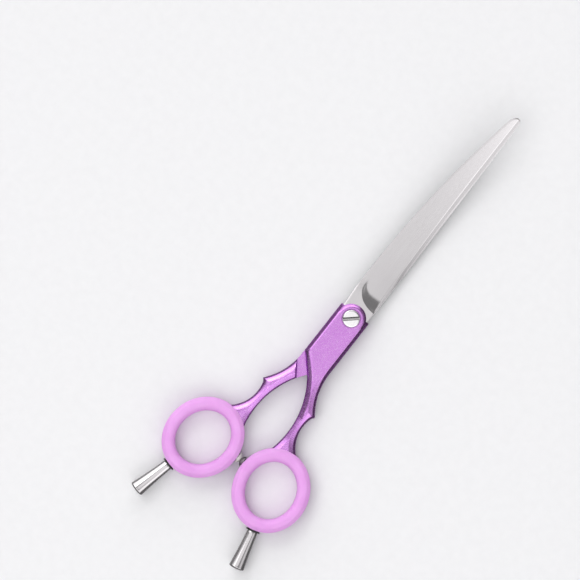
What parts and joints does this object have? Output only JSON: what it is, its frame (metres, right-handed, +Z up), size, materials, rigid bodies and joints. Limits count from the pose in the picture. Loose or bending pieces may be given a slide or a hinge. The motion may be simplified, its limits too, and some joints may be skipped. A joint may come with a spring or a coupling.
{
  "type": "curved grooming shears",
  "caption": "Closed curved grooming shears with half-lapped metallic handles, soft finger-ring inserts, screw-in finger rests, a rubber stop bumper and a tension screw.",
  "frame": {"origin": "middle of the underside of the closed shears' bounding box, on the surface they rest on", "axes": "+Y along the shears towards the blade tips, +Z up through the pivot towards the screw head, +X towards the top half's ring"},
  "size_m": [0.0604, 0.1944, 0.014],
  "materials": {
    "blade_steel": "satin ground stainless steel",
    "handle_metal": "light purple metallic coating with fine sparkle",
    "ring_silicone": "satin lilac silicone",
    "polished_metal": "polished",
    "washer_rubber": "matte black",
    "bumper_rubber": "grey translucent rubber",
    "nylon": "natural nylon",
    "brass": "turned",
    "spring_steel": "spring steel"
  },
  "bodies": {
    "bottom_half": {"bottom_blade": "blade_steel", "bottom_handle": "handle_metal", "bottom_ring_insert": "ring_silicone", "bottom_tang_rivets": "blade_steel", "threaded_insert": "brass", "bearing_washer": "nylon", "bottom_rest_washer": "washer_rubber", "bumper_seat": "polished_metal", "bumper_rubber": "bumper_rubber"},
    "top_half": {"top_blade": "blade_steel", "top_handle": "handle_metal", "top_ring_insert": "ring_silicone", "top_tang_rivets": "blade_steel", "pivot_bushing": "nylon", "top_rest_washer": "washer_rubber", "strike_pin": "polished_metal"},
    "tension_screw": {"pivot_screw": "polished_metal", "tension_washer": "spring_steel"},
    "top_rest": {"top_finger_rest": "polished_metal"},
    "bottom_rest": {"bottom_finger_rest": "polished_metal"}
  },
  "joints": [
    {"name": "blade_pivot", "type": "hinge", "parent": "bottom_half", "child": "top_half", "pos_m": [0, 0.00153, 0.0036], "axis": [0, 0, 1], "range_deg": [0, 65]},
    {"name": "screw_turn", "type": "hinge", "parent": "bottom_half", "child": "tension_screw", "pos_m": [0, 0.00153, 0.0036], "axis": [0, 0, 1], "range_deg": [-90, 90]},
    {"name": "top_rest_turn", "type": "hinge", "parent": "top_half", "child": "top_rest", "pos_m": [0.01585, -0.06637, 0.0036], "axis": [0.2419, -0.9703, 0], "range_deg": [0, 360]},
    {"name": "bottom_rest_turn", "type": "hinge", "parent": "bottom_half", "child": "bottom_rest", "pos_m": [-0.01585, -0.06637, 0.0036], "axis": [-0.2419, -0.9703, 0], "range_deg": [0, 360]}
  ]
}
